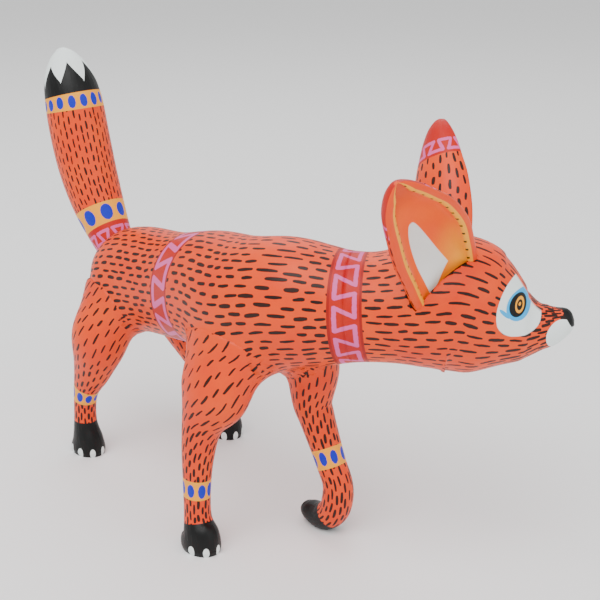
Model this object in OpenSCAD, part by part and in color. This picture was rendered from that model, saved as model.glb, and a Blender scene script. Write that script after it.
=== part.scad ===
// Carved and painted fox figure. Millimetres, +Z up, +X from rump to chest,
// +Y to the animal's left. It stands on the z = 0 plane.

/* [Overall] */
// Size of the whole carving against the standard one
figure_scale = 1; // [0.9:0.05:1.2]
// Points round each carved section
section_points = 28; // [24:2:36]
// Sections cut between two neighbouring stations of a curve
sections_per_step = 3; // [2:1:4]

/* [Ears] */
// Diameter of the peg that holds an ear, mm
ear_peg_diameter = 6; // [4:0.5:6.5]
// Length of an ear peg below the ear, mm
ear_peg_in_head = 13; // [8:1:15]
// Length of an ear peg inside the ear, mm
ear_peg_in_ear = 10; // [7:1:11]
// Thickness of the ear's carved wall, mm
ear_wall = 5.5; // [4:0.5:6]

/* [Tail] */
// Diameter of the tail peg, mm
tail_peg_diameter = 8; // [5:0.5:9]
// Length of the tail peg inside the body, mm
tail_peg_in_body = 14; // [8:1:16]
// Length of the tail peg inside the tail, mm
tail_peg_in_tail = 16; // [8:1:20]

/* [Glued dowels] */
// Diameter of the neck dowel, mm
neck_dowel_diameter = 10; // [6:0.5:12]
// Length of the neck dowel, mm
neck_dowel_length = 30; // [20:2:36]
// Diameter of each leg dowel, mm
leg_dowel_diameter = 7; // [4:0.5:8]

/* [Fits] */
// Gap all round a lift-off piece in its seat, mm
seat_gap = 0.3; // [0.2:0.05:0.5]
// Radial clearance of a peg in its bore, mm
peg_clearance = 0.05; // [0.02:0.01:0.1]
// Thickness of the glue line round a leg in its pocket, mm
glue_line = 0.1; // [0.05:0.05:0.3]
// Space left at the blind end of every bore, mm
end_space = 0.6; // [0.4:0.1:1]

/* [Hidden] */
paint_orange = [1, 0.38, 0.13];
bare_wood = [0.82, 0.66, 0.44];
peg_facets = 48;
// body stations: x, y, z, half width, half height
body_stations = figure_scale * [
    [-92, 6, 99, 4, 5], [-90, 6, 99.5, 12, 14], [-85, 6, 101, 20, 22], [-74, 6, 103, 25, 27],
    [-55, 5, 107, 26, 29], [-20, 3, 112, 25, 29], [15, 0, 119.4, 28, 31], [45, -2, 121, 30, 33.8],
    [70, 1, 127.6, 27.5, 32.2], [86, 8, 128.9, 25, 29.5], [98, 15, 129.8, 25, 26.5],
    [109, 23, 130.9, 28, 25.9], [121, 33, 132.8, 31, 28.7], [134, 44, 134.1, 31, 32.5],
    [145, 53, 129.5, 26, 29.1], [155, 61.5, 125.8, 19, 20], [159.8, 65.9, 124.9, 15, 15.3],
    [164.7, 70, 125.1, 11, 11.1], [168.5, 73.1, 126.2, 8.3, 9.6], [171.4, 75.5, 127.7, 6.4, 7.5],
    [173.7, 77.4, 129.2, 5, 5.8], [175.1, 78.6, 130, 3.4, 4], [175.7, 79.1, 130.3, 1.3, 1.8]];
neck_station = 10;
// limb stations: x, y, z, half depth fore and aft, half width
right_front_stations = figure_scale * [
    [44, -15, 114, 8, 7], [45, -17, 108, 17, 12], [46, -22, 98, 22, 16], [47.5, -30.5, 82, 20.5, 14],
    [44.5, -36, 66, 11, 10], [43.5, -38.5, 50, 8.5, 8], [43.5, -39.8, 32, 7.5, 6.7], [44, -40.2, 16, 7.5, 6.8],
    [47, -41, 8, 10.8, 8.6], [47, -41, 3, 11.8, 9.2], [47, -41, 0, 11.2, 8.6]];
left_front_stations = figure_scale * [
    [60, 17, 108, 7, 6], [61, 18, 102, 15, 11], [65, 18.5, 88, 14.5, 13], [65.5, 18, 70, 11, 10],
    [68.5, 18.5, 61, 9.5, 9], [74.5, 18.5, 49, 8.5, 8], [79.5, 18.5, 39, 8, 7.5], [83.5, 19, 30, 8, 7.5],
    [84, 19, 22, 8.2, 7.8], [81, 19.5, 13, 7.9, 8], [75, 19.5, 7.2, 7.6, 7.8], [69, 19.5, 5.6, 6.4, 7.2],
    [63, 19.5, 6, 5, 6], [59.6, 19.5, 6.8, 3, 4], [58.6, 19.5, 7, 1.3, 2]];
right_hind_stations = figure_scale * [
    [-66, -11, 104, 8, 7], [-66.5, -13, 97, 17, 11], [-68, -20.5, 76, 18, 15], [-74, -23, 56, 13, 10],
    [-81.5, -24, 38, 7.4, 6.8], [-84, -24, 20, 7, 6.4], [-82.5, -24, 8, 10.4, 8.2], [-82.5, -24, 3, 11.4, 9],
    [-82.5, -24, 0, 10.8, 8.4]];
left_hind_stations = figure_scale * [
    [-64, 19, 100, 8, 7], [-63, 21, 94, 17, 12], [-58, 28, 76, 15, 13], [-53, 37, 52, 11, 9],
    [-50.5, 46, 30, 8, 7], [-48.5, 48.5, 16, 8, 7], [-46, 50, 8, 10.2, 8.6], [-46, 50, 3, 11, 9],
    [-46, 50, 0, 10.4, 8.4]];
tail_stations = figure_scale * [
    [-82, 6, 110, 9, 9], [-87, 6, 116.5, 10.5, 10.5], [-93, 6, 124, 12, 12], [-103.5, 6, 139, 14.5, 14.5],
    [-113, 6, 158, 16.5, 16], [-119.5, 6, 178, 17, 16.5], [-124, 6, 197, 16.5, 16],
    [-128.5, 6, 211, 13.5, 13.5], [-132, 6, 220.5, 8, 8], [-134, 6, 225, 2.5, 2.5]];
// ear stations: height, half width, depth of the back, how far the wall is hollowed (0 to 1),
// and how far the middle swings towards the ear's low side
ear_stations = [
    [-8, 17, 11, 0.05, -1], [0, 18.2, 12.6, 0.2, -1], [8, 18.9, 14, 0.55, -1], [16, 19.4, 14.8, 0.9, -1],
    [30, 19.9, 15.1, 1, -0.4], [45, 17.5, 13, 1, 1.6], [55, 14.3, 10.5, 1, 4.3], [62, 11.5, 8.5, 0.8, 6],
    [68, 7.8, 6.5, 0.5, 7], [72, 4, 4, 0.2, 7.3], [73.5, 1.5, 2, 0.05, 7.3]];
skull_centre = [134, 44, 131] * figure_scale;
skull_forward = [cos(40), sin(40), 0];
skull_left = [-sin(40), cos(40), 0];
// per ear: where its middle stands, which way it points, which way it is wide, and its share of the swing
right_ear_set = [[-4, 21, 18], [-0.2, 0.52, 0.83], [0.732, -0.541, 0.414], 1];
left_ear_set = [[-4.8, 19.5, 11.7], [-0.026, 0.316, 0.86], [0.557, -0.708, 0.429], 0.73];
ear_peg_back = 5;
// the ear's section: points along its arc, the least depth of its hollow and that hollow's least share of the width
ear_arc_points = 16;
least_hollow = 0.2;
narrowest_hollow = 0.4;
// how many stations at the foot of a limb, tail or ear are let into their pocket
seated_stations = 4;
tail_way = unit([-5, 0, 6.5]);
up = [0, 0, 1];
sideways = [0, 1, 0];

function unit(v) = v / norm(v);
function place(s) = [s[0], s[1], s[2]];
function glide(a, b, c, d, t) = 0.5 * (2 * b + (c - a) * t + (2 * a - 5 * b + 4 * c - d) * t * t
    + (3 * b - a - 3 * c + d) * t * t * t);
function smooth(p, m) = let (n = len(p), q = concat([2 * p[0] - p[1]], p, [2 * p[n - 1] - p[n - 2]]))
    concat([for (i = [0:n - 2]) for (j = [0:m - 1]) glide(q[i], q[i + 1], q[i + 2], q[i + 3], j / m)], [p[n - 1]]);
function way(s, i) = unit(place(s[min(i + 1, len(s) - 1)]) - place(s[max(i - 1, 0)]));
function section(s, i, ref, grow) = let (t = way(s, i), a = unit(cross(ref, t)), b = cross(t, a))
    [for (j = [0:section_points - 1]) place(s[i])
        + a * (s[i][3] + grow) * cos(360 * j / section_points)
        + b * (s[i][4] + grow) * sin(360 * j / section_points)];

function all_sections(stations, ref) = let (s = smooth(stations, sections_per_step))
    [for (i = [0:len(s) - 1]) each section(s, i, ref, 0)];
function middle(points, k) = let (v = [for (p = points) if (p[2] >= 0) p[k]]) (min(v) + max(v)) / 2;

// closes a stack of equal planar rings into one solid
module skin(rings) {
    n = len(rings);
    k = len(rings[0]);
    polyhedron(points = [for (r = rings) each r], faces = concat(
        [[for (j = [0:k - 1]) j]],
        [for (i = [0:n - 2]) for (j = [0:k - 1]) [i * k + j, (i + 1) * k + (j + 1) % k, i * k + (j + 1) % k]],
        [for (i = [0:n - 2]) for (j = [0:k - 1]) [i * k + j, (i + 1) * k + j, (i + 1) * k + (j + 1) % k]],
        [[for (j = [k - 1:-1:0]) (n - 1) * k + j]]));
}

module carve(stations, ref, grow = 0, from = 0, to = -1) {
    s = smooth(stations, sections_per_step);
    last = to < 0 ? len(s) - 1 : to;
    skin([for (i = [from:last]) section(s, i, ref, grow)]);
}

// round rod or bore between two points
module rod(a, b, diameter, extra = 0) {
    d = b - a;
    translate(a) rotate([0, acos(d[2] / norm(d)), atan2(d[1], d[0])])
        translate([0, 0, -extra]) cylinder(h = norm(d) + 2 * extra, d = diameter, $fn = peg_facets);
}

function dowel_ends(name) =
    name == "rf" ? [[46, -22, 98], [43.5, -13, 127]] * figure_scale :
    name == "lf" ? [[63, 18, 90], [58, 11, 121]] * figure_scale :
    name == "rh" ? [[-68, -19, 84], [-66, -9, 112]] * figure_scale :
    [[-61, 25, 84], [-62, 15, 112]] * figure_scale;

module leg_dowel_rod(name) {
    e = dowel_ends(name);
    color(bare_wood) placed() rod(e[0], e[1], leg_dowel_diameter);
}

module leg_dowel_bore(name) {
    e = dowel_ends(name);
    rod(e[0], e[1], leg_dowel_diameter + 2 * peg_clearance, end_space);
}

neck_index = neck_station * sections_per_step;
body_curve = smooth(body_stations, sections_per_step);
neck_point = place(body_curve[neck_index]);
neck_way = way(body_curve, neck_index);

module neck_rod(diameter, extra) {
    rod(neck_point - neck_way * neck_dowel_length / 2, neck_point + neck_way * neck_dowel_length / 2,
        diameter, extra);
}

tail_root = place(tail_stations[0]);

module tail_rod(diameter, extra) {
    rod(tail_root - tail_way * tail_peg_in_body, tail_root + tail_way * tail_peg_in_tail, diameter, extra);
}

// side: 1 is the left ear, -1 the right ear
function skull_point(v, side) = skull_centre + skull_forward * v[0] + skull_left * v[1] * side + up * v[2];
function skull_way(v, side) = skull_forward * v[0] + skull_left * v[1] * side + up * v[2];
function ear_set(side) = side > 0 ? left_ear_set : right_ear_set;
function ear_axis(side) = unit(skull_way(ear_set(side)[1], side));
function ear_back(side) = unit(cross(ear_axis(side), skull_way(ear_set(side)[2], side))) * side * -1;
function ear_across(side) = cross(ear_back(side), ear_axis(side)) * side;
function ear_origin(side) = skull_point(ear_set(side)[0] * figure_scale, side);

function ear_ring(e, side, grow) = let (o = ear_origin(side)
        + (ear_axis(side) * e[0] + ear_across(side) * e[4] * ear_set(side)[3]) * figure_scale,
        w = e[1] * figure_scale + grow, d = e[2] * figure_scale + grow,
        hollow = max(least_hollow, (e[2] * figure_scale - ear_wall) * e[3]),
        step = 180 / ear_arc_points, n = ear_arc_points,
        pts = concat(
            [for (j = [0:n]) o + ear_across(side) * w * cos(step * j) + ear_back(side) * d * sin(step * j)],
            grow > 0 ? [for (j = [n:-1:0]) o + ear_across(side) * w * cos(step * j) - ear_back(side) * grow]
            : [for (j = [n - 1:-1:1]) o + ear_across(side) * max(w - ear_wall, w * narrowest_hollow) * cos(step * j)
                + ear_back(side) * hollow * sin(step * j)]))
    side > 0 ? pts : [for (j = [len(pts) - 1:-1:0]) pts[j]];

module ear_shell(side, grow = 0, upto = -1) {
    s = smooth(ear_stations, sections_per_step);
    last = upto < 0 ? len(s) - 1 : upto;
    skin([for (i = [0:last]) ear_ring(s[i], side, grow)]);
}

module ear_rod(side, diameter, extra) {
    o = ear_origin(side) + (ear_back(side) * ear_peg_back + ear_axis(side) * ear_stations[0][0]) * figure_scale;
    rod(o - ear_axis(side) * ear_peg_in_head, o + ear_axis(side) * ear_peg_in_ear, diameter, extra);
}

module ear(side) {
    color(paint_orange) placed() difference() {
        ear_shell(side);
        ear_rod(side, ear_peg_diameter + 2 * peg_clearance, end_space);
    }
}

// every outer point of the carving, whose box is centred over the origin
outer_points = concat(all_sections(body_stations, up), all_sections(tail_stations, sideways),
    all_sections(right_front_stations, sideways), all_sections(right_hind_stations, sideways),
    all_sections(left_hind_stations, sideways),
    [for (side = [-1, 1]) for (e = smooth(ear_stations, sections_per_step)) each ear_ring(e, side, 0)]);
stance_centre = [middle(outer_points, 0), middle(outer_points, 1), 0];

module placed() { translate(-stance_centre) children(); }

module right_ear() { ear(-1); }
module left_ear() { ear(1); }
module right_ear_peg() { color(bare_wood) placed() ear_rod(-1, ear_peg_diameter, 0); }
module left_ear_peg() { color(bare_wood) placed() ear_rod(1, ear_peg_diameter, 0); }

module ear_seat(side) {
    translate(-ear_axis(side) * seat_gap) ear_shell(side, seat_gap, seated_stations * sections_per_step);
    ear_rod(side, ear_peg_diameter + 2 * peg_clearance, end_space);
}

module head() {
    color(paint_orange) placed() difference() {
        carve(body_stations, up, 0, neck_index);
        ear_seat(1);
        ear_seat(-1);
        neck_rod(neck_dowel_diameter + 2 * peg_clearance, end_space);
    }
}

module neck_dowel() { color(bare_wood) placed() neck_rod(neck_dowel_diameter, 0); }

module torso() {
    color(paint_orange) placed() difference() {
        carve(body_stations, up, 0, 0, neck_index);
        carve(right_front_stations, sideways, glue_line, 0, seated_stations * sections_per_step);
        carve(left_front_stations, sideways, glue_line, 0, seated_stations * sections_per_step);
        carve(right_hind_stations, sideways, glue_line, 0, seated_stations * sections_per_step);
        carve(left_hind_stations, sideways, glue_line, 0, seated_stations * sections_per_step);
        translate(-tail_way * seat_gap) carve(tail_stations, sideways, seat_gap, 0, seated_stations * sections_per_step);
        for (name = ["rf", "lf", "rh", "lh"]) leg_dowel_bore(name);
        tail_rod(tail_peg_diameter + 2 * peg_clearance, end_space);
        neck_rod(neck_dowel_diameter + 2 * peg_clearance, end_space);
    }
}

// a leg with its dowel bore; its last section is the flat sole
module leg(stations, name) {
    color(paint_orange) placed() difference() {
        carve(stations, sideways);
        leg_dowel_bore(name);
        children();
    }
}

// the folded wrist is planed flat where it rests
module knuckle_plane() {
    reach = 400;
    translate([-reach / 2, -reach / 2, -reach]) cube(reach);
}

module right_front_leg() { leg(right_front_stations, "rf"); }
module left_front_leg() { leg(left_front_stations, "lf") knuckle_plane(); }
module right_hind_leg() { leg(right_hind_stations, "rh"); }
module left_hind_leg() { leg(left_hind_stations, "lh"); }
module right_front_dowel() { leg_dowel_rod("rf"); }
module left_front_dowel() { leg_dowel_rod("lf"); }
module right_hind_dowel() { leg_dowel_rod("rh"); }
module left_hind_dowel() { leg_dowel_rod("lh"); }

module tail() {
    color(paint_orange) placed() difference() {
        carve(tail_stations, sideways);
        tail_rod(tail_peg_diameter + 2 * peg_clearance, end_space);
    }
}

module tail_peg() { color(bare_wood) placed() tail_rod(tail_peg_diameter, 0); }

torso();
head();
neck_dowel();
right_front_leg();
left_front_leg();
right_hind_leg();
left_hind_leg();
right_front_dowel();
left_front_dowel();
right_hind_dowel();
left_hind_dowel();
tail();
tail_peg();
right_ear();
left_ear();
right_ear_peg();
left_ear_peg();
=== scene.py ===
# %% [markdown]
# # A carved and painted fox
#
# A folk carver cuts this fox from a soft branch, sands it, and covers it in acrylic paint. The body,
# head, legs, tail and ears are separate pieces of wood. Each is made here as a stack of oval sections
# along a curve, the way a carver thinks of a limb: where its middle runs, and how thick it is.

import bpy
import numpy as np
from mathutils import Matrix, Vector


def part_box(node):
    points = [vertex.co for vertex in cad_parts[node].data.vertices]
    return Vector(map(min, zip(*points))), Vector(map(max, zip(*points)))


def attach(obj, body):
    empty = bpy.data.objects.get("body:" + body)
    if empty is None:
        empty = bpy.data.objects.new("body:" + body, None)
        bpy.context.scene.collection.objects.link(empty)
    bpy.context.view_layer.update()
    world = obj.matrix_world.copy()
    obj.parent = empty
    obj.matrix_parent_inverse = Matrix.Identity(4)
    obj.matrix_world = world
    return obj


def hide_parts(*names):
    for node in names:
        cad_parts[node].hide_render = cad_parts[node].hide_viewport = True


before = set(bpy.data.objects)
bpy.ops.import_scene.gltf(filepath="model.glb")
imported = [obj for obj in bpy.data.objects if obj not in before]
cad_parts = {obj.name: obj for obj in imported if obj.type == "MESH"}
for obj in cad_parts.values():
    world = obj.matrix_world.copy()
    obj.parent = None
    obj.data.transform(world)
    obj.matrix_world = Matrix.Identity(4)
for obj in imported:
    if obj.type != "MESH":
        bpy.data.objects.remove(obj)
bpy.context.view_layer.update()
MM = 0.001

# %% [markdown]
# ## The curves of the carving
#
# Each row is one station: x, y and z of the limb's middle, then its two half thicknesses, all in
# millimetres. These are the design's own stations, the same as the structure's, so the skin fits it.

# %%
BODY = [
    (-92, 6, 99, 4, 5), (-90, 6, 99.5, 12, 14), (-85, 6, 101, 20, 22), (-74, 6, 103, 25, 27),
    (-55, 5, 107, 26, 29),
    (-20, 3, 112, 25, 29), (15, 0, 119.4, 28, 31), (45, -2, 121, 30, 33.8), (70, 1, 127.6, 27.5, 32.2),
    (86, 8, 128.9, 25, 29.5), (98, 15, 129.8, 25, 26.5), (109, 23, 130.9, 28, 25.9),
    (121, 33, 132.8, 31, 28.7),
    (134, 44, 134.1, 31, 32.5), (145, 53, 129.5, 26, 29.1), (155, 61.5, 125.8, 19, 20),
    (159.8, 65.9, 124.9, 15, 15.3),
    (164.7, 70, 125.1, 11, 11.1), (168.5, 73.1, 126.2, 8.3, 9.6), (171.4, 75.5, 127.7, 6.4, 7.5),
    (173.7, 77.4, 129.2, 5, 5.8), (175.1, 78.6, 130, 3.4, 4), (175.7, 79.1, 130.3, 1.3, 1.8)]
NECK = 10
LEGS = {
    "right_front_leg": [
        (44, -15, 114, 8, 7), (45, -17, 108, 17, 12), (46, -22, 98, 22, 16), (47.5, -30.5, 82, 20.5, 14),
        (44.5, -36, 66, 11, 10), (43.5, -38.5, 50, 8.5, 8), (43.5, -39.8, 32, 7.5, 6.7),
        (44, -40.2, 16, 7.5, 6.8),
        (47, -41, 8, 10.8, 8.6), (47, -41, 3, 11.8, 9.2), (47, -41, 0, 11.2, 8.6)],
    "left_front_leg": [
        (60, 17, 108, 7, 6), (61, 18, 102, 15, 11), (65, 18.5, 88, 14.5, 13), (65.5, 18, 70, 11, 10),
        (68.5, 18.5, 61, 9.5, 9), (74.5, 18.5, 49, 8.5, 8), (79.5, 18.5, 39, 8, 7.5), (83.5, 19, 30, 8, 7.5),
        (84, 19, 22, 8.2, 7.8), (81, 19.5, 13, 7.9, 8), (75, 19.5, 7.2, 7.6, 7.8), (69, 19.5, 5.6, 6.4, 7.2),
        (63, 19.5, 6, 5, 6), (59.6, 19.5, 6.8, 3, 4), (58.6, 19.5, 7, 1.3, 2)],
    "right_hind_leg": [
        (-66, -11, 104, 8, 7), (-66.5, -13, 97, 17, 11), (-68, -20.5, 76, 18, 15), (-74, -23, 56, 13, 10),
        (-81.5, -24, 38, 7.4, 6.8), (-84, -24, 20, 7, 6.4), (-82.5, -24, 8, 10.4, 8.2),
        (-82.5, -24, 3, 11.4, 9),
        (-82.5, -24, 0, 10.8, 8.4)],
    "left_hind_leg": [
        (-64, 19, 100, 8, 7), (-63, 21, 94, 17, 12), (-58, 28, 76, 15, 13), (-53, 37, 52, 11, 9),
        (-50.5, 46, 30, 8, 7), (-48.5, 48.5, 16, 8, 7), (-46, 50, 8, 10.2, 8.6), (-46, 50, 3, 11, 9),
        (-46, 50, 0, 10.4, 8.4)]}
TAIL = [
    (-82, 6, 110, 9, 9), (-87, 6, 116.5, 10.5, 10.5), (-93, 6, 124, 12, 12), (-103.5, 6, 139, 14.5, 14.5),
    (-113, 6, 158, 16.5, 16), (-119.5, 6, 178, 17, 16.5), (-124, 6, 197, 16.5, 16),
    (-128.5, 6, 211, 13.5, 13.5),
    (-132, 6, 220.5, 8, 8), (-134, 6, 225, 2.5, 2.5)]
# ear: height, half width, depth of the back, how far the wall is hollowed, swing towards the low side
EAR = [
    (-8, 17, 11, 0.05, -1), (0, 18.2, 12.6, 0.2, -1), (8, 18.9, 14, 0.55, -1), (16, 19.4, 14.8, 0.9, -1),
    (30, 19.9, 15.1, 1, -0.4), (45, 17.5, 13, 1, 1.6), (55, 14.3, 10.5, 1, 4.3), (62, 11.5, 8.5, 0.8, 6),
    (68, 7.8, 6.5, 0.5, 7), (72, 4, 4, 0.2, 7.3), (73.5, 1.5, 2, 0.05, 7.3)]
EAR_WALL, EAR_PEG_BACK = 5.5, 5
# how far the filler reaches out of a joint, and the gap left round a recessed ear or tail
FILLET_REACH, SEAT_GAP = 13, 0.3
# the bores for the pegs: radius, depth into the wood, and how far they run on into the ear or tail
EAR_BORE = (3.05, 13.6, 5)
TAIL_BORE = (4.05, 14.6, 4)
# how many rings of an ear and of the tail their recesses are cut with
EAR_SEAT_RINGS, TAIL_SEAT_RINGS = 40, 41
HEAD_TURN = np.radians(40)
FORWARD = np.array([np.cos(HEAD_TURN), np.sin(HEAD_TURN), 0])
LEFTWARD = np.array([-np.sin(HEAD_TURN), np.cos(HEAD_TURN), 0])
UP = np.array([0, 0, 1.0])
ACROSS_BODY = np.array([0, 1.0, 0])
SKULL = np.array([134, 44, 131.0])
# per ear: where its middle stands, which way it points, which way it is wide, and its share of the swing
EAR_SETS = {-1: ((-4, 21, 18), (-0.2, 0.52, 0.83), (0.732, -0.541, 0.414), 1.0),
            1: ((-4.8, 19.5, 11.7), (-0.026, 0.316, 0.86), (0.557, -0.708, 0.429), 0.73)}


def unit(v):
    """The same direction at length one, for one vector or an array of them."""
    v = np.asarray(v, float)
    return v / np.linalg.norm(v, axis=-1, keepdims=True)


def smooth(stations, steps):
    """A Catmull-Rom curve: it passes through every station, and leaves each one in the direction from the
    station before to the station after."""
    p = np.array(stations, float)
    q = np.vstack([2 * p[0] - p[1], p, 2 * p[-1] - p[-2]])
    a, b, c, d = (q[i:i + len(p) - 1, None] for i in range(4))
    t = (np.arange(steps) / steps)[None, :, None]
    run = 0.5 * (2 * b + (c - a) * t + (2 * a - 5 * b + 4 * c - d) * t**2 + (3 * b - a - 3 * c + d) * t**3)
    return np.vstack([run.reshape(-1, p.shape[1]), p[-1:]])


def curve_frame(curve, ref):
    """Along a curve: its direction, the side direction square to it and to ref, and the third direction."""
    way = unit(np.gradient(curve[:, :3], axis=0))
    side = unit(np.cross(ref, way))
    return way, side, np.cross(way, side)


# the structure stands centred over the origin, so the stations shift by where its tail begins
tail_curve = smooth(TAIL, 3)
tail_way, tail_side, tail_up = curve_frame(tail_curve, ACROSS_BODY)
turn = np.linspace(0, 2 * np.pi, 33)[:-1]
tail_points = (tail_curve[:, None, :3]
               + tail_side[:, None] * (tail_curve[:, 3, None] * np.cos(turn))[..., None]
               + tail_up[:, None] * (tail_curve[:, 4, None] * np.sin(turn))[..., None])
tail_box = np.array([tuple(v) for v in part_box("tail")]) / MM
shift = tail_box.mean(0) - (tail_points.min((0, 1)) + tail_points.max((0, 1))) / 2
shift[2] = 0
print("the carving's own centre sits at", shift.round(1), "mm")

# %% [markdown]
# ## Making a skin
#
# A skin is a closed stack of rings. Every point also carries what a painter would measure: how far along
# the limb it is, how far round, and how big the limb is there. The painted patterns read these instead of
# a picture.

# %%
def skin(name, rings, along, marks):
    """A closed mesh from rings of points, with a fan to the middle of the first and the last ring.
    The uv map Paint holds (millimetres along / 100, part of a turn round), and marks are extra numbers
    per point."""
    n, k = rings.shape[:2]
    ends = np.stack([rings[0].mean(0), rings[-1].mean(0)])
    points = np.vstack([rings.reshape(-1, 3), ends]) + shift
    i, j = (a.ravel() for a in np.meshgrid(np.arange(n - 1), np.arange(k), indexing="ij"))
    turn_on = (j + 1) % k
    quads = np.stack([i * k + j, i * k + turn_on, (i + 1) * k + turn_on, (i + 1) * k + j], 1)
    r = np.arange(k)
    first = np.stack([(r + 1) % k, r, np.full(k, n * k)], 1)
    last = np.stack([(n - 1) * k + r, (n - 1) * k + (r + 1) % k, np.full(k, n * k + 1)], 1)
    mesh = bpy.data.meshes.new(name)
    mesh.from_pydata((points * MM).tolist(), [], quads.tolist() + first.tolist() + last.tolist())
    uv = mesh.uv_layers.new(name="Paint")
    a = along / 100
    quad_uv = np.stack([np.stack([a[i], j / k], 1), np.stack([a[i], (j + 1) / k], 1),
                        np.stack([a[i + 1], (j + 1) / k], 1), np.stack([a[i + 1], j / k], 1)], 1)
    one = np.ones(k)
    first_uv = np.stack([np.stack([one * a[0], (r + 1) / k], 1), np.stack([one * a[0], r / k], 1),
                         np.stack([one * a[0], (r + 0.5) / k], 1)], 1)
    last_uv = np.stack([np.stack([one * a[-1], r / k], 1), np.stack([one * a[-1], (r + 1) / k], 1),
                        np.stack([one * a[-1], (r + 0.5) / k], 1)], 1)
    uv.data.foreach_set("uv", np.vstack([quad_uv.reshape(-1, 2), first_uv.reshape(-1, 2),
                                         last_uv.reshape(-1, 2)]).ravel())
    for label, values in marks.items():
        width = values.shape[-1] if values.ndim == 3 else 1
        flat = values.reshape(n * k, width)
        flat = np.vstack([flat, values.reshape(n, k, width)[[0, -1]].mean(1)])
        kind, key = ("FLOAT_VECTOR", "vector") if width == 3 else ("FLOAT", "value")
        mesh.attributes.new(label, kind, "POINT").data.foreach_set(key, flat.astype(np.float32).ravel())
    mesh.polygons.foreach_set("use_smooth", np.ones(len(mesh.polygons), bool))
    mesh.update()
    obj = bpy.data.objects.new(name, mesh)
    bpy.context.scene.collection.objects.link(obj)
    print(name, "has", len(mesh.vertices), "points")
    return obj


class Limb:
    """One carved limb: its smooth curve, the frame along it, and its skin as rings of points."""

    def __init__(self, stations, ref, steps=10, around=128):
        self.curve = smooth(stations, steps)
        self.way, self.side, self.up = curve_frame(self.curve, np.asarray(ref, float))
        self.along = np.r_[0, np.cumsum(np.linalg.norm(np.diff(self.curve[:, :3], axis=0), axis=1))]
        self.turn = np.arange(around) / around * 2 * np.pi
        self.steps = steps

    def rings(self, grow=0.0, lift=(0, 0, 0)):
        """Every ring: middle + side * half width * cos(turn) + up * half height * sin(turn)."""
        c, s = np.cos(self.turn), np.sin(self.turn)
        return (self.curve[:, None, :3] + np.asarray(lift)
                + self.side[:, None] * ((self.curve[:, 3, None] + grow) * c)[..., None]
                + self.up[:, None] * ((self.curve[:, 4, None] + grow) * s)[..., None])

    def girth(self):
        """The distance round each ring in millimetres, as Ramanujan reckons it for an oval."""
        a, b = self.curve[:, 3], self.curve[:, 4]
        return np.pi * (3 * (a + b) - np.sqrt((3 * a + b) * (a + 3 * b)))

    def depth(self, points):
        """How far each point lies outside the limb in millimetres, from its nearest middle; inside is
        negative."""
        out = np.empty(len(points))
        for part in np.array_split(np.arange(len(points)), max(1, len(points) // 4000)):
            gap = points[part, None] - self.curve[None, :, :3]
            near = (gap**2).sum(-1).argmin(1)
            v = points[part] - self.curve[near, :3]
            a, b = self.curve[near, 3], self.curve[near, 4]
            x, y, z = ((v * f[near]).sum(-1) for f in (self.side, self.up, self.way))
            r = np.sqrt((x / a)**2 + (y / b)**2 + (z / (0.5 * (a + b)))**2) + 1e-6
            out[part] = np.linalg.norm(v, axis=-1) * (1 - 1 / r)
        return out


def ring_normals(rings):
    """The outward direction at every point of a stack of rings, from its neighbours along and round."""
    down = np.gradient(rings, axis=0)
    over = np.roll(rings, -1, 1) - np.roll(rings, 1, 1)
    return unit(np.cross(over, down) + 1e-9)


def fillet(rings, others, reach):
    """Where two limbs meet, filler is smoothed into the corner. A point moves outwards along its normal until
    the soft minimum of the two depths is zero, which is found by halving the interval twelve times."""
    flat = rings.reshape(-1, 3)
    normal = ring_normals(rings).reshape(-1, 3)
    low, high = np.zeros(len(flat)), np.full(len(flat), reach * 0.6)
    start = np.min([o.depth(flat) for o in others], 0)
    busy = np.abs(start) < reach * 1.5
    moved = np.zeros(len(flat))
    if busy.any():
        p, n, lo, hi = flat[busy], normal[busy], low[busy], high[busy]
        for _ in range(12):
            mid = (lo + hi) / 2
            here = p + n * mid[:, None]
            other = np.min([o.depth(here) for o in others], 0)
            soft = np.minimum(mid, other) - np.maximum(reach - np.abs(mid - other), 0)**2 / (4 * reach)
            inside = soft < 0
            lo, hi = np.where(inside, mid, lo), np.where(inside, hi, mid)
        moved[busy] = (lo + hi) / 2
    fade = np.clip(1 + start / 3.0, 0, 1)
    return (flat + normal * (moved * fade)[:, None]).reshape(rings.shape)


def add_cut(obj, cutters):
    """Cuts solid shapes out of a skin with an exact boolean, and keeps the result as the piece's own mesh."""
    for c in cutters:
        m = obj.modifiers.new("cut", "BOOLEAN")
        m.operation, m.solver, m.object = "DIFFERENCE", "EXACT", c
        m.material_mode = "TRANSFER"
    solid = bpy.data.meshes.new_from_object(obj.evaluated_get(bpy.context.evaluated_depsgraph_get()))
    obj.modifiers.clear()
    obj.data = solid
    for c in cutters:
        bpy.data.objects.remove(c)
    print(obj.name, "was bored, and has", len(solid.polygons), "faces")


def rod(name, a, b, radius, sides=64):
    """A closed round rod between two points, in millimetres."""
    a, b = np.asarray(a, float), np.asarray(b, float)
    way = unit(b - a)
    side = unit(np.cross(way, [0.31, 0.87, 0.38]))
    t = np.arange(sides) / sides * 2 * np.pi
    ring = (side[None] * np.cos(t)[:, None] + np.cross(way, side)[None] * np.sin(t)[:, None]) * radius
    rings = np.stack([a + ring, b + ring])
    girth = np.full((2, sides), 2 * np.pi * radius)
    return skin(name, rings, np.array([0, np.linalg.norm(b - a)]), {"Girth": girth})

# %% [markdown]
# ## The wooden pieces
#
# The body and head are one curve sawn through at the neck, so their faces meet exactly. Legs are glued in
# and the joints filled and sanded, which the fillet does. Ears and tail sit in shallow recesses, each on
# a round peg.

# %%
whole = Limb(BODY, UP)
saw = NECK * whole.steps
legs = {name: Limb(rows, ACROSS_BODY, 10, 96) for name, rows in LEGS.items()}
tail = Limb(TAIL, ACROSS_BODY, 10, 96)


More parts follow.
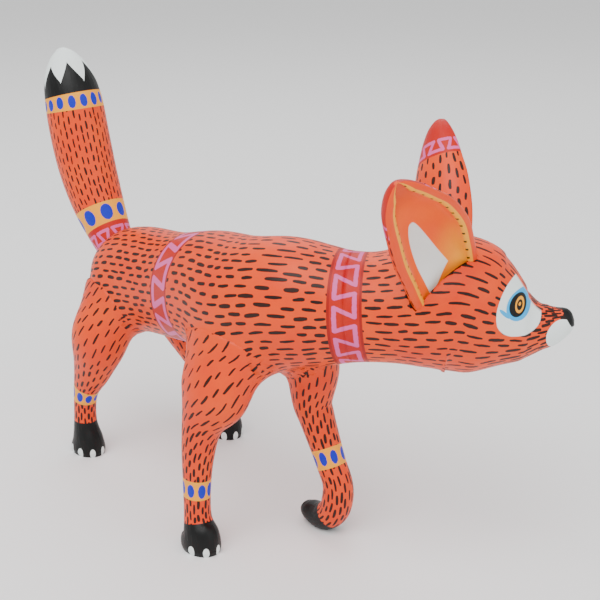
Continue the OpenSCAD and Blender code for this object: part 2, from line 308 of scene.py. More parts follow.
def part_of(limb, first, last):
    """The stretch of a limb between two of its rings."""
    piece = object.__new__(Limb)
    piece.__dict__ = dict(limb.__dict__)
    for key in ("curve", "way", "side", "up", "along"):
        setattr(piece, key, getattr(limb, key)[first:last])
    return piece


def skull_coordinates(points):
    """How far forward, left and up of the middle of the skull each point is, in millimetres."""
    return (points - SKULL) @ np.stack([FORWARD, LEFTWARD, UP], 1)


def spread(values, rings):
    """One number per ring, given to every point of it."""
    return np.repeat(np.asarray(values)[:, None], rings.shape[1], 1)


def ear_axes(side):
    """Where an ear stands and its three directions: up the ear, towards its back, and across it."""
    parts = np.stack([FORWARD, LEFTWARD * side, UP])
    foot, lean, wide, _ = EAR_SETS[side]
    axis = unit(np.array(lean) @ parts)
    back = unit(np.cross(axis, np.array(wide) @ parts)) * -1
    # the two ears mirror each other, so the left one's back points the other way from the same product
    back = back if side > 0 else -back
    across = np.cross(back, axis) * side
    return SKULL + np.array(foot) @ parts, axis, back, across


torso_part = part_of(whole, 0, saw + 1)
head_part = part_of(whole, saw, len(whole.curve))
torso_rings = fillet(torso_part.rings(), list(legs.values()), FILLET_REACH)
torso = skin("torso_skin", torso_rings, torso_part.along,
             {"Girth": spread(torso_part.girth(), torso_rings)})

head_rings = head_part.rings()
head = skin("head_skin", head_rings, head_part.along,
            {"Girth": spread(head_part.girth(), head_rings), "Place": skull_coordinates(head_rings)})

leg_skins = {}
for name, limb in legs.items():
    rings = fillet(limb.rings(), [whole], FILLET_REACH)
    rings[..., 2] = np.maximum(rings[..., 2], 0)
    leg_skins[name] = skin(name + "_skin", rings, limb.along,
                           {"Girth": spread(limb.girth(), rings), "Height": rings[..., 2].copy()})
tail_rings = tail.rings()
tail_skin = skin("tail_skin", tail_rings, tail.along, {"Girth": spread(tail.girth(), tail_rings)})

# %% [markdown]
# ## Ears
#
# An ear is a leaf of wood hollowed from the front like a spoon. Its ring runs over the round back, turns
# over the rim, follows the hollow, and turns over the other rim.


# %%
def ear_rings(side, grow=0.0, upto=None, steps=10):
    """Rings up an ear, with each point's place on it: across, back, and height, and how deep inside it is."""
    rows = smooth(EAR, steps)[:upto]
    foot, axis, back, across = ear_axes(side)
    t = np.linspace(0, np.pi, 33)
    lip = np.linspace(0, np.pi, 9)[1:-1]
    height, half, deep, hollow, swing = rows.T
    swing = swing[:, None] * EAR_SETS[side][3]
    half, deep = half + grow, deep + grow
    if grow:
        x = np.concatenate([np.cos(t), np.cos(t[::-1])])
        wide = half[:, None] * x[None]
        thick = np.concatenate([deep[:, None] * np.sin(t)[None], np.full((len(rows), 33), -grow)], 1)
        inner = np.zeros_like(wide)
    else:
        inner_half = np.maximum(half - EAR_WALL, half * 0.4)
        cup = np.maximum(0.2, (deep - EAR_WALL) * hollow)
        wall = half - inner_half
        # the lip is half a circle from the outer edge to the inner edge, leaning out at the front
        lip_x = (inner_half + wall / 2)[:, None] + (wall / 2)[:, None] * np.cos(lip)[None]
        lip_y = -0.30 * wall[:, None] * np.sin(lip)[None]
        wide = np.concatenate([half[:, None] * np.cos(t), -lip_x, inner_half[:, None] * np.cos(t[::-1]),
                               lip_x[:, ::-1]], 1)
        thick = np.concatenate([deep[:, None] * np.sin(t), lip_y, cup[:, None] * np.sin(t[::-1]),
                                lip_y[:, ::-1]], 1)
        inner = np.broadcast_to(np.concatenate([np.zeros(33), np.linspace(0.1, 0.9, 7), np.ones(33),
                                                np.linspace(0.9, 0.1, 7)]), wide.shape)
    high = np.broadcast_to(height[:, None], wide.shape)
    wide = wide + swing
    points = (foot + axis * high[..., None] + across * wide[..., None] + back * thick[..., None])
    place = np.stack([wide, thick, high], -1)
    if side < 0:
        points, place, inner = points[:, ::-1], place[:, ::-1], inner[:, ::-1]
    return points, place, inner, height


ears, wood_cutters = {}, {"head": [], "torso": []}
for side, name in ((-1, "right_ear"), (1, "left_ear")):
    points, place, inner, height = ear_rings(side)
    ears[name] = skin(name + "_skin", points, height, {"Place": place, "Inside": inner,
                                                       "Girth": np.full(points.shape[:2], 80.0)})
    foot, axis, back, across = ear_axes(side)
    cut, cut_place, cut_inner, cut_height = ear_rings(side, SEAT_GAP, EAR_SEAT_RINGS)
    wood_cutters["head"].append(skin(name + "_seat", cut - axis * SEAT_GAP, cut_height, {"Girth": cut_inner}))
    low = foot + axis * EAR[0][0] + back * EAR_PEG_BACK
    radius, depth, past = EAR_BORE
    wood_cutters["head"].append(rod(name + "_bore", low - axis * depth, low + axis * past, radius))

tail_way = unit([-5, 0, 6.5])
seat = part_of(tail, 0, TAIL_SEAT_RINGS)
wood_cutters["torso"].append(skin("tail_seat", seat.rings(SEAT_GAP, -tail_way * SEAT_GAP), seat.along,
                                  {"Girth": spread(np.ones(TAIL_SEAT_RINGS), seat.rings())}))
tail_foot = seat.curve[0, :3]
radius, depth, past = TAIL_BORE
wood_cutters["torso"].append(rod("tail_bore", tail_foot - tail_way * depth,
                                 tail_foot + tail_way * past, radius))

# %% [markdown]
# ## Writing paint as arithmetic
#
# A Value stands for one output in a shader, so a painted mark can be written as a sum: `a + b * 2` makes
# the two math nodes. Marks that several pieces share are node groups, which give out masks, colours and a
# surface direction.


# %%
class Value:
    """One shader output that can be added, multiplied and compared like a number."""

    def __init__(self, tree, socket):
        self.tree, self.socket = tree, socket

    def _math(self, op, *others, clamp=False):
        node = self.tree.nodes.new("ShaderNodeMath")
        node.operation, node.use_clamp = op, clamp
        for i, v in enumerate((self, *others)):
            if isinstance(v, Value):
                self.tree.links.new(v.socket, node.inputs[i])
            else:
                node.inputs[i].default_value = float(v)
        return Value(self.tree, node.outputs[0])

    def __add__(self, o): return self._math("ADD", o)
    def __sub__(self, o): return self._math("SUBTRACT", o)
    def __mul__(self, o): return self._math("MULTIPLY", o)
    def __truediv__(self, o): return self._math("DIVIDE", o)
    def __rsub__(self, o): return (self * -1) + o
    __radd__, __rmul__ = __add__, __mul__

    def floor(self): return self._math("FLOOR")
    def fract(self): return self._math("FRACT")
    def size(self): return self._math("ABSOLUTE")
    def least(self, o): return self._math("MINIMUM", o)
    def most(self, o): return self._math("MAXIMUM", o)
    def sine(self): return self._math("SINE")
    def power(self, o): return self._math("POWER", o)
    def root(self): return self._math("SQRT")
    def unit_range(self): return self._math("ADD", 0.0, clamp=True)

    def step(self, low, high):
        """0 below low and 1 above high, smooth between; low may be the greater, for a falling step."""
        node = self.tree.nodes.new("ShaderNodeMapRange")
        node.interpolation_type = "SMOOTHSTEP"
        flip = low > high
        self.tree.links.new(self.socket, node.inputs["Value"])
        node.inputs["From Min"].default_value, node.inputs["From Max"].default_value = sorted((low, high))
        node.inputs["To Min"].default_value, node.inputs["To Max"].default_value = (1, 0) if flip else (0, 1)
        return Value(self.tree, node.outputs["Result"])


def make(tree, kind, inputs=(), out=0, **settings):
    """One node with its settings and inputs, given as a name or place and a Value, number or vector."""
    node = tree.nodes.new(kind)
    for key, v in settings.items():
        setattr(node, key, v)
    for key, v in dict(inputs).items():
        if isinstance(v, Value):
            tree.links.new(v.socket, node.inputs[key])
        else:
            node.inputs[key].default_value = v
    return Value(tree, node.outputs[out])


def vector(tree, x, y, z=0.0):
    return make(tree, "ShaderNodeCombineXYZ", {0: x, 1: y, 2: z})


def parts(v):
    """The three numbers of a vector."""
    node = v.tree.nodes.new("ShaderNodeSeparateXYZ")
    v.tree.links.new(v.socket, node.inputs[0])
    return [Value(v.tree, o) for o in node.outputs]


def mix(tree, low, high, share):
    """A colour between low and high."""
    node = tree.nodes.new("ShaderNodeMix")
    node.data_type = "RGBA"
    for key, v in ((0, share), (6, low), (7, high)):
        if isinstance(v, Value):
            tree.links.new(v.socket, node.inputs[key])
        else:
            node.inputs[key].default_value = v
    return Value(tree, node.outputs[2])


def random3(tree, a, b, c=0.0):
    """Three numbers from 0 to 1 that stay the same for the same a, b and c."""
    return parts(make(tree, "ShaderNodeTexWhiteNoise", {"Vector": vector(tree, a, b, c)}, out=1,
                      noise_dimensions="3D"))


def group(name, inputs, outputs, build):
    """A node group: inputs and outputs are (name, kind, first value), and build turns Values into Values."""
    tree = bpy.data.node_groups.new(name, "ShaderNodeTree")
    for label, kind, first in inputs:
        s = tree.interface.new_socket(label, in_out="INPUT", socket_type="NodeSocket" + kind)
        s.default_value = first
    for label, kind in outputs:
        tree.interface.new_socket(label, in_out="OUTPUT", socket_type="NodeSocket" + kind)
    enter, leave = tree.nodes.new("NodeGroupInput"), tree.nodes.new("NodeGroupOutput")
    made = build(tree, [Value(tree, s) for s in enter.outputs[:len(inputs)]])
    for i, v in enumerate(made):
        tree.links.new(v.socket, leave.inputs[i])
    return tree


def use(tree, shared, **inputs):
    """Puts a node group in a material and returns its outputs."""
    node = tree.nodes.new("ShaderNodeGroup")
    node.node_tree = shared
    for key, v in inputs.items():
        s = node.inputs[key.replace("_", " ")]
        if isinstance(v, Value):
            tree.links.new(v.socket, s)
        else:
            s.default_value = v
    return [Value(tree, o) for o in node.outputs if o.enabled]


# %% [markdown]
# ## Shared painted marks
#
# - **strokes**: short dark fur strokes in rows along the limb, each nudged, leant and sized by its own
#   chance.
# - **dots**: a ring of hand-dabbed ovals round a band.
# - **meander**: one unbroken line that steps to and fro across a band, with leaning steps.
# - **acrylic**: what dried brushed paint does to any colour: small shifts of tone, brush ridges, and
#   uneven gloss.


# %%
def strokes_build(t, v):
    along, around, girth, rows, pitch, length, width, lean, seed = v
    wobble = make(t, "ShaderNodeTexNoise", {"Vector": vector(t, along * 0.12, around * girth * 0.12, seed),
                                            "Scale": 1.0, "Detail": 2.0}, noise_dimensions="3D")
    lane = around * rows + (wobble - 0.5) * 0.3
    row = lane.floor()
    jog = random3(t, row, seed, 3.0)[0]
    run = along / pitch + (row * 0.5).fract() + jog * 0.34
    cell = run.floor()
    r1, r2, r3 = random3(t, row, cell, seed)
    q1, q2, q3 = random3(t, cell, row, seed + 7.0)
    x = (run.fract() - 0.5 + (r1 - 0.5) * 0.22) * pitch
    y = (lane.fract() - 0.5 + (r2 - 0.5) * 0.26) * girth / rows
    y = y + x * (lean + (r3 - 0.5) * 0.16) + x * x * (q3 - 0.5) * 0.03
    half = length * (q1 * 0.42 + 0.76) * 0.5
    thick = width * (q2 * 0.4 + 0.78) * 0.5
    taper = 1.0 - (x / half) * (x / half) * 0.45
    end = (x.size() - half + thick).most(0.0)
    rough = make(t, "ShaderNodeTexNoise", {"Vector": vector(t, along, around * girth, seed), "Scale": 0.9,
                                           "Detail": 3.0}, noise_dimensions="3D")
    gap = (end * end + y * y).root() - thick * taper + (rough - 0.5) * 0.14
    return [gap.step(0.11, -0.11), q2]


strokes = group("fur_strokes", [("Along", "Float", 0), ("Around", "Float", 0), ("Girth", "Float", 100),
                                ("Rows", "Float", 20), ("Pitch", "Float", 8.5), ("Length", "Float", 5.5),
                                ("Width", "Float", 1.8), ("Lean", "Float", 0), ("Seed", "Float", 1)],
                [("Mask", "Float"), ("Load", "Float")], strokes_build)


def dots_build(t, v):
    offset, around, girth, count, wide, high, seed = v
    lane = around * count
    cell = lane.floor()
    r1, r2, r3 = random3(t, cell, seed)
    y = (lane.fract() - 0.5 + (r1 - 0.5) * 0.12) * girth / count
    x = offset + (r2 - 0.5) * 0.5
    gap = ((x / high) * (x / high) + (y / wide) * (y / wide)).root() - 1.0 - (r3 - 0.5) * 0.14
    rough = make(t, "ShaderNodeTexNoise", {"Vector": vector(t, offset, around * girth, seed), "Scale": 0.8})
    return [(gap + (rough - 0.5) * 0.18).step(0.06, -0.06)]


dots = group("dabbed_dots", [("Offset", "Float", 0), ("Around", "Float", 0), ("Girth", "Float", 50),
                             ("Count", "Float", 10), ("Wide", "Float", 2), ("High", "Float", 3),
                             ("Seed", "Float", 1)], [("Mask", "Float")], dots_build)


def line_gap(x, y, a, b, tall):
    """The distance in millimetres from (x, y) to the straight line from a to b, where one in y is tall
    millimetres."""
    ax, ay, bx, by = a[0], tall * a[1], b[0], tall * b[1]
    px, py = x - ax, y * tall - ay
    dx, dy = bx - ax, by - ay
    share = ((px * dx + py * dy) / (dx * dx + dy * dy)).unit_range()
    ex, ey = px - share * dx, py - share * dy
    return (ex * ex + ey * ey).root()


def meander_build(t, v):
    across, around, girth, count, reach, thick = v
    y = (around * count).fract()
    tall = girth / count
    left, right = 0.0 - reach, reach
    turns = [((left, 0.0), (left, 0.72)), ((left, 0.72), (right, 0.50)), ((right, 0.50), (right, 1.22)),
             ((right, -0.50), (right, 0.22)), ((right, 0.22), (left, 0.0)), ((right, 1.22), (left, 1.0))]
    gap = None
    for a, b in turns:
        d = line_gap(across, y, a, b, tall)
        gap = d if gap is None else gap.least(d)
    rough = make(t, "ShaderNodeTexNoise", {"Vector": vector(t, across, around * girth), "Scale": 0.7,
                                           "Detail": 2.0})
    return [(gap - thick * 0.5 + (rough - 0.5) * 0.5).step(0.14, -0.14)]


meander = group("stepped_line", [("Across", "Float", 0), ("Around", "Float", 0), ("Girth", "Float", 160),
                                 ("Count", "Float", 11), ("Reach", "Float", 3), ("Thick", "Float", 1.8)],
                [("Mask", "Float")], meander_build)


def acrylic_build(t, v):
    colour, along, around, girth, relief = v
    place = make(t, "ShaderNodeTexCoord", out="Object")
    broad = make(t, "ShaderNodeTexNoise", {"Vector": place, "Scale": 55.0, "Detail": 3.0})
    fine = make(t, "ShaderNodeTexNoise", {"Vector": place, "Scale": 900.0, "Detail": 4.0})
    combed = vector(t, along * 0.22, around * girth * 2.6)
    hairs = make(t, "ShaderNodeTexNoise", {"Vector": combed, "Scale": 1.0, "Detail": 5.0, "Roughness": 0.65})
    tone = (broad - 0.5) * 0.16 + (hairs - 0.5) * 0.10 + (fine - 0.5) * 0.05 + 1.0
    shade = make(t, "ShaderNodeHueSaturation", {"Color": colour, "Value": tone,
                                                "Hue": (broad - 0.5) * 0.012 + 0.5, "Saturation": 1.0})
    gloss = (hairs - 0.5) * 0.16 + (broad - 0.5) * 0.14 + 0.42
    height = hairs * 0.35 + fine * 0.12 + relief * 0.55 + broad * 0.5
    normal = make(t, "ShaderNodeBump", {"Height": height, "Strength": 0.5, "Distance": 0.00022})
    return [shade, gloss, normal]


acrylic = group("dried_acrylic", [("Color", "Color", (1, 1, 1, 1)), ("Along", "Float", 0),
                                  ("Around", "Float", 0), ("Girth", "Float", 100), ("Relief", "Float", 0)],
                [("Color", "Color"), ("Roughness", "Float"), ("Normal", "Vector")], acrylic_build)


# %% [markdown]
# ## Paint pots
#
# Colours are mixed as they look on the wood, then turned into light-linear numbers.


# %%
def pot(text):
    """A colour written as six hexadecimal digits, as linear red, green, blue and 1."""
    c = np.array([int(text[i:i + 2], 16) for i in (0, 2, 4)]) / 255
    return tuple(np.where(c < 0.04045, c / 12.92, ((c + 0.055) / 1.055)**2.4)) + (1.0,)


ORANGE, INK, RED, PINK = pot("E64200"), pot("150703"), pot("B80E02"), pot("D8589A")
YELLOW, BLUE, BLACK, WHITE = pot("F4A21C"), pot("0E1CB4"), pot("050606"), pot("E6EEEC")
SKY, DEEP_RED, GLOW, AMBER = pot("1EA6E6"), pot("980A02"), pot("FFA808"), pot("F65A00")


def painted(name, build):
    """A material: build(tree, along, around, girth) gives its colour and how far the marks stand up."""
    m = bpy.data.materials.new(name)
    m.use_nodes = True
    t = m.node_tree
    shader = t.nodes["Principled BSDF"]
    along, around, _ = parts(make(t, "ShaderNodeUVMap", out=0, uv_map="Paint"))
    along = along * 100.0
    girth = make(t, "ShaderNodeAttribute", out=2, attribute_name="Girth")
    colour, relief = build(t, along, around, girth)
    c, r, n = use(t, acrylic, Color=colour, Along=along, Around=around, Girth=girth, Relief=relief)
    t.links.new(c.socket, shader.inputs["Base Color"])
    t.links.new(r.socket, shader.inputs["Roughness"])
    t.links.new(n.socket, shader.inputs["Normal"])
    shader.inputs["Specular IOR Level"].default_value = 0.25
    shader.inputs["Coat Weight"].default_value = 0.02
    shader.inputs["Coat Roughness"].default_value = 0.3
    return m


def band(along, low, high, soft=0.15):
    """1 between two places along a limb."""
    return along.step(low - soft, low + soft) * along.step(high + soft, high - soft)


def ruled_band(t, colour, relief, along, around, girth, middle, half, count, thick):
    """A red band with darker margins and the pink stepped line along it."""
    offset = along - middle
    inside = offset.size().step(half + 0.15, half - 0.15)
    margin = offset.size().step(half - 1.3, half - 0.9)
    red = mix(t, RED, DEEP_RED, margin)
    line = use(t, meander, Across=offset, Around=around, Girth=girth, Count=count, Reach=half - 3.0,
               Thick=thick)[0]
    red = mix(t, red, PINK, line)
    return mix(t, colour, red, inside), relief * (1.0 - inside) + inside * (line * 0.9 + 0.3)


def dotted_band(t, colour, relief, along, around, girth, low, high, count, wide, seed):
    """A yellow band with a ring of blue ovals."""
    inside = band(along, low, high)
    blue = use(t, dots, Offset=along - (low + high) / 2, Around=around, Girth=girth, Count=count, Wide=wide,
               High=(high - low) * 0.36, Seed=seed)[0]
    yellow = mix(t, YELLOW, BLUE, blue)
    return mix(t, colour, yellow, inside), relief * (1.0 - inside) + inside * (blue + 0.4)

# %% [markdown]
# ## Painting the body and head
#
# Rows of strokes follow the fur. The waist and neck bands lie at set distances along the body's curve;
# the waist band leans back under the belly.


# %%
WAIST_AT, WAIST_HALF = 91.0, 9.5
NECK_AT, NECK_HALF = 197.5, 7.2


def fur(t, along, around, girth, **sizes):
    """Orange with dark strokes; returns the colour and how thick the paint lies."""
    mask, load = use(t, strokes, Along=along, Around=around, Girth=girth, **sizes)
    dark = mix(t, INK, pot("2A1006"), load)
    return mix(t, ORANGE, dark, mask), mask * 0.8, mask


def body_paint(t, along, around, girth):
    """Fur, then the two ruled bands over it."""
    colour, relief, _ = fur(t, along, around, girth, Rows=46.0, Pitch=8.4, Length=6.4, Width=1.75, Lean=0.04,
                            Seed=3.0)
    # the carver leaves the rump bare where the rows would crowd together
    fade = along.step(9.0, 13.0)
    colour, relief = mix(t, ORANGE, colour, fade), relief * fade
    sag = (around * 6.2832).sine()
    waist = WAIST_AT + sag * 4.0 - (1.0 - sag).most(1.0) * 3.0 + 3.0
    moved = along - (waist - WAIST_AT)
    colour, relief = ruled_band(t, colour, relief, moved, around, girth, WAIST_AT, WAIST_HALF, 9.0, 3.0)
    return ruled_band(t, colour, relief, along, around, girth, NECK_AT, NECK_HALF, 11.0, 1.9)


def egg(place_x, place_y, wide, high, narrow):
    """Below 1 inside an egg that narrows upwards by that share."""
    across = place_x / wide * (1.0 + place_y * (narrow / high))
    up = place_y / high
    return (across * across + up * up).root()


def head_paint(t, along, around, girth):
    """Fur and the neck band, then the face: white eye patches, blue-ringed eyes, a white chin and a black
    nose."""
    colour, relief, _ = fur(t, along, around, girth, Rows=46.0, Pitch=8.6, Length=6.6, Width=1.5, Lean=0.0,
                            Seed=11.0)
    colour, relief = ruled_band(t, colour, relief, along, around, girth, NECK_AT, NECK_HALF, 11.0, 1.9)
    place = make(t, "ShaderNodeAttribute", out=1, attribute_name="Place")
    f, l, u = parts(place)
    wavy = (make(t, "ShaderNodeTexNoise", {"Vector": place, "Scale": 0.35, "Detail": 2.0}) - 0.5) * 0.5
    side = l.size()
    patch = egg(f - 28.9 + (u - 8.0) * 0.11, u - 8.0, 9.8, 12.6, 0.28) + wavy * 0.06
    on_side = side.step(4.0, 6.5)
    white = patch.step(1.02, 0.98) * on_side
    colour = mix(t, colour, WHITE, white)
    relief = relief * (1.0 - white) + white * 0.5
    ex, ey = f - 28.5, u - 9.3
    halo = egg(ex - 0.5, ey + 0.3, 5.7, 6.3, 0.0) + wavy * 0.1
    lash = egg((ex + 5.6) + (ey + 2.6) * 0.9, ey + 2.4, 1.1, 2.4, 0.0)
    sky = halo.least(lash).step(1.03, 0.97) * on_side
    colour = mix(t, colour, SKY, sky)
    pupil = egg(ex, ey, 3.9, 4.8, 0.0).step(1.03, 0.97) * on_side
    colour = mix(t, colour, BLACK, pupil)
    ring = (egg(ex - 0.8, ey, 1.7, 2.7, 0.0) - 1.0).size().step(0.27, 0.17) * on_side
    colour = mix(t, colour, YELLOW, ring)
    spark = egg(ex - 0.8, ey - 0.4, 0.55, 0.75, 0.0).step(1.1, 0.9) * on_side
    colour = mix(t, colour, YELLOW, spark)
    chin = (egg(f - 49.5, u + 8.0, 7.2, 7.8, 0.0) + wavy * 0.1).step(1.02, 0.98)
    colour = mix(t, colour, WHITE, chin)
    nose = (f + u * 0.64 + wavy * 0.6).step(50.8, 51.2) * (u + 4.4).step(-0.3, 0.3)
    colour = mix(t, colour, BLACK, nose)
    marks = white.most(chin).most(nose)
    return colour, relief * (1.0 - marks) + marks * 0.5 + pupil * 0.3 + ring * 0.4


# %% [markdown]
# ## Painting the tail, legs and ears


# %%
def tail_paint(t, along, around, girth):
    """A red collar, a dotted band, fur, a second dotted band, black, and a white tip with a toothed edge."""
    colour, relief, _ = fur(t, along, around, girth, Rows=34.0, Pitch=6.8, Length=5.2, Width=1.05, Lean=0.0,
                            Seed=21.0)
    colour, relief = dotted_band(t, colour, relief, along, around, girth, 21.5, 34.5, 8.0, 3.3, 5.0)
    collar = along.step(21.8, 21.2)
    line = use(t, meander, Across=along - 15.0, Around=around, Girth=girth, Count=8.0, Reach=3.0,
               Thick=1.7)[0]
    colour = mix(t, colour, mix(t, RED, PINK, line), collar)
    colour, relief = dotted_band(t, colour, relief, along, around, girth, 92.5, 101.0, 15.0, 2.1, 9.0)
    colour = mix(t, colour, BLACK, along.step(100.8, 101.2))
    lane = around * 7.0
    chance = random3(t, lane.floor(), 4.0)[0]
    tooth = 1.0 - ((lane.fract() - 0.5) * 2.0).size()
    edge = 118.0 - (1.0 - tooth) * (9.5 + chance * 3.0)
    white = (along - edge).step(-0.2, 0.2)
    return mix(t, colour, WHITE, white), relief + white * 0.3 + collar * (line * 0.8)


# four claws stand side by side round the front of a paw, each taking this share of the way round
CLAW_STEP = 0.122


def leg_paint(low, high, black_from, lean, claws):
    """Fur strokes down the leg, a dotted band low to high, then a black paw with white claws."""
    def build(t, along, around, girth):
        turn = along.step(black_from - 12.0, 18.0)
        colour, relief, _ = fur(t, along, around, girth, Rows=21.0, Pitch=7.0, Length=5.2, Width=1.35,
                                Lean=turn * lean, Seed=low)
        colour, relief = dotted_band(t, colour, relief, along, around, girth, low, high, 8.0, 2.0, low + 2)
        black = along.step(black_from - 0.3, black_from + 0.3)
        colour = mix(t, colour, BLACK, black)
        if claws is not None:
            height = make(t, "ShaderNodeAttribute", out=2, attribute_name="Height")
            lane = (around - claws) / CLAW_STEP
            wide = (lane.fract() - 0.5) * girth * CLAW_STEP
            tall = height - 2.4
            gap = ((wide / 1.75) * (wide / 1.75) + (tall / 2.9) * (tall / 2.9)).root()
            claw = gap.step(1.06, 0.94) * band(lane, 0.0, 4.0, 0.01)
            colour = mix(t, colour, WHITE, claw)
            relief = relief + claw * 0.5
        return colour, relief
    return build


def ear_paint(t, along, around, girth):
    """Behind: fur, a stepped pink line and a red tip. In front: a glowing hollow with a white drop, and a
    yellow line with dark ticks inside the rim."""
    x, y, z = parts(make(t, "ShaderNodeAttribute", out=1, attribute_name="Place"))
    inside = make(t, "ShaderNodeAttribute", out=2, attribute_name="Inside")
    colour, relief, _ = fur(t, z, around, 95.0, Rows=30.0, Pitch=7.2, Length=4.8, Width=1.3,
                            Lean=0.0, Seed=31.0)
    # the red tip's edge and its stepped line run lower towards the rear of the ear
    slant = z + x * 0.3
    line = use(t, meander, Across=slant - 58.5, Around=around, Girth=90.0, Count=9.0, Reach=2.8, Thick=1.7)[0]
    colour = mix(t, colour, RED, slant.step(53.2, 53.7))
    colour = mix(t, colour, PINK, line * band(slant, 53.8, 63.2, 0.3))
    # inside, deep orange under the tip turns to bright yellow low down at the front
    glow = ((-6.0 - x) / 30.0 + (32.0 - z) / 50.0).unit_range()
    hollow = mix(t, AMBER, GLOW, glow.step(0.1, 0.8))
    hollow = mix(t, hollow, RED, (z + x * 0.5).step(50.0, 74.0) * 0.6)
    hollow = mix(t, hollow, GLOW, (z + x * 0.1).step(7.0, -3.0))
    core = inside.step(0.985, 0.999)
    front = mix(t, ORANGE, hollow, core)
    # the white drop: narrow at the top, leaning forward and widening towards the bottom
    down = (40.0 - z) / 46.0
    half = down.unit_range().power(0.52) * 8.8
    middle = 2.8 - down * 4.2
    drop = (x - middle).size() - half
    base = z + x * 0.62 - 4.0
    white = drop.step(0.25, -0.25) * base.step(-0.3, 0.3) * down.step(0.0, 0.03) * core
    front = mix(t, front, WHITE, white)
    rim = inside.step(0.55, 0.6) * inside.step(0.995, 0.985)
    ticks = ((z / 5.2).fract() - 0.5).size().step(0.12, 0.08) * inside.step(0.74, 0.8)
    front = mix(t, front, mix(t, YELLOW, INK, ticks), rim)
    facing = inside.step(0.05, 0.12)
    return mix(t, colour, front, facing), relief * (1.0 - facing) + white * 0.4


# %% [markdown]
# ## Bare wood
#
# Pegs, dowels and the recesses stay unpainted: pale soft wood with long grain, pores and a sanded surface.


# %%
def bare_wood():
    """Pale soft wood: rings stretched along the grain, darker pores, and a fuzzy sanded surface."""
    m = bpy.data.materials.new("bare_wood")
    m.use_nodes = True
    t = m.node_tree
    shader = t.nodes["Principled BSDF"]
    place = make(t, "ShaderNodeTexCoord", out="Object")
    long_way = make(t, "ShaderNodeMapping", {"Vector": place, "Scale": (1.0, 1.0, 0.15)})
    grain = make(t, "ShaderNodeTexNoise", {"Vector": long_way, "Scale": 420.0, "Detail": 6.0,
                                           "Distortion": 0.6})
    pores = make(t, "ShaderNodeTexNoise", {"Vector": long_way, "Scale": 1500.0, "Detail": 2.0})
    dark = pores.step(0.62, 0.74)
    colour = mix(t, mix(t, pot("DDBE8C"), pot("B98D58"), grain.step(0.35, 0.7)), pot("8A6238"), dark * 0.6)
    rough = (grain - 0.5) * 0.2 + 0.68
    normal = make(t, "ShaderNodeBump", {"Height": grain - dark * 0.6, "Strength": 0.35, "Distance": 0.0003})
    t.links.new(colour.socket, shader.inputs["Base Color"])
    t.links.new(rough.socket, shader.inputs["Roughness"])
    t.links.new(normal.socket, shader.inputs["Normal"])
    return m


WOOD = bare_wood()


def dress(obj, material, body, node):
    """Gives a skin its paint, and ties it to the piece that it stands for."""
    obj.data.materials.append(material)
    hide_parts(node)
    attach(obj, body)


for cutters in wood_cutters.values():
    for c in cutters:
        c.data.materials.append(WOOD)
torso.data.materials.append(painted("torso_paint", body_paint))
head.data.materials.append(painted("head_paint", head_paint))
add_cut(torso, wood_cutters["torso"])
add_cut(head, wood_cutters["head"])
for piece, node in ((torso, "torso"), (head, "head")):
    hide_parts(node)
    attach(piece, "figure")

LEG_BANDS = {"right_front_leg": (81.2, 91.3, 105.5, -0.6, 0.278), "left_front_leg": (64, 74, 105, -0.2, None),
             "right_hind_leg": (65.6, 75.6, 88.5, -0.4, 0.386), "left_hind_leg": (64, 74, 90, -0.2, 0.34)}
for name, piece in leg_skins.items():
    dress(piece, painted(name + "_paint", leg_paint(*LEG_BANDS[name])), "figure", name)
dress(tail_skin, painted("tail_paint", tail_paint), "tail_piece", "tail")
ear_material = painted("ear_paint", ear_paint)
for name, piece in ears.items():
    dress(piece, ear_material, name + "_piece", name)
for name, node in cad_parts.items():
    if name.endswith(("dowel", "peg")):
        node.data.materials.clear()
        node.data.materials.append(WOOD)
print("painted", len(leg_skins) + len(ears) + 3, "skins")

# %% [markdown]
# ## Floor, light and camera
#
# A white floor that fades into a white surround, a broad soft key light from the upper left and a weaker
# fill.

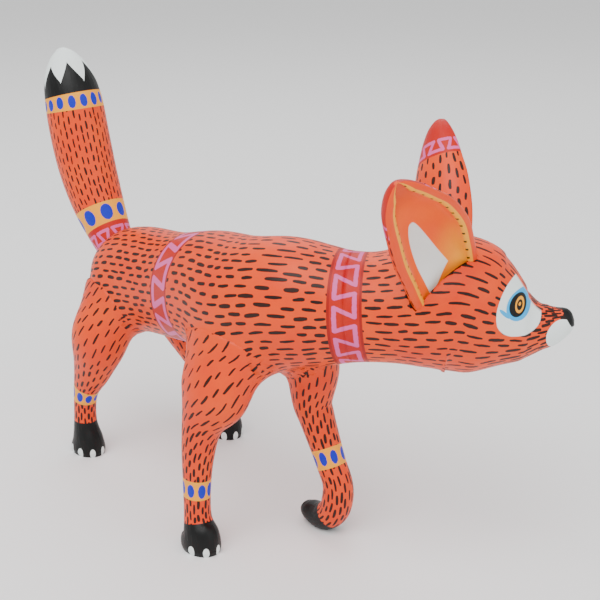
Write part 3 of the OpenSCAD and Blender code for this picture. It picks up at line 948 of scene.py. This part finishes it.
# %%
floor_mesh = bpy.data.meshes.new("floor")
floor_mesh.from_pydata([(-30, -30, 0), (30, -30, 0), (30, 30, 0), (-30, 30, 0)], [], [(0, 1, 2, 3)])
floor = bpy.data.objects.new("floor", floor_mesh)
bpy.context.scene.collection.objects.link(floor)
floor_paint = bpy.data.materials.new("floor_paint")
floor_paint.use_nodes = True
tree = floor_paint.node_tree
cloud = make(tree, "ShaderNodeTexNoise", {"Scale": 3.0, "Detail": 2.0})
tree.links.new(mix(tree, (0.86, 0.86, 0.86, 1), (0.9, 0.9, 0.9, 1), cloud).socket,
               tree.nodes["Principled BSDF"].inputs["Base Color"])
tree.nodes["Principled BSDF"].inputs["Roughness"].default_value = 0.9
floor_mesh.materials.append(floor_paint)

VIEW_AZIMUTH, VIEW_ELEVATION, VIEW_DISTANCE = np.radians(48), np.radians(20), 0.62
VIEW_AIM = (np.array([54, 20, 120]) + shift) * MM
level = np.cos(VIEW_ELEVATION)
back = np.array([np.sin(VIEW_AZIMUTH) * level, -np.cos(VIEW_AZIMUTH) * level, np.sin(VIEW_ELEVATION)])
lens = bpy.data.cameras.new("camera")
lens.sensor_width, lens.lens, lens.clip_end = 36, 74.4, 10
camera = bpy.data.objects.new("camera", lens)
camera.location = VIEW_AIM + back * VIEW_DISTANCE
camera.rotation_euler = (np.pi / 2 - VIEW_ELEVATION, 0, VIEW_AZIMUTH)
bpy.context.scene.collection.objects.link(camera)
bpy.context.scene.camera = camera


def soft_light(name, azimuth, elevation, distance, size, power):
    """A square area light that looks at the middle of the figure."""
    a, e = np.radians(azimuth), np.radians(elevation)
    way = np.array([np.sin(a) * np.cos(e), -np.cos(a) * np.cos(e), np.sin(e)])
    lamp = bpy.data.lights.new(name, "AREA")
    lamp.size, lamp.energy = size, power
    obj = bpy.data.objects.new(name, lamp)
    obj.location = np.array([0, 0, 0.12]) + way * distance
    obj.rotation_euler = (np.pi / 2 - e, 0, a)
    bpy.context.scene.collection.objects.link(obj)


soft_light("key", 20, 58, 1.3, 1.1, 17)
soft_light("fill", 95, 25, 1.5, 1.2, 5)
soft_light("rim", 230, 50, 1.4, 1.0, 6)
world = bpy.data.worlds.new("surround")
world.use_nodes = True
world.node_tree.nodes["Background"].inputs["Color"].default_value = (1, 1, 1, 1)
world.node_tree.nodes["Background"].inputs["Strength"].default_value = 0.95
bpy.context.scene.world = world
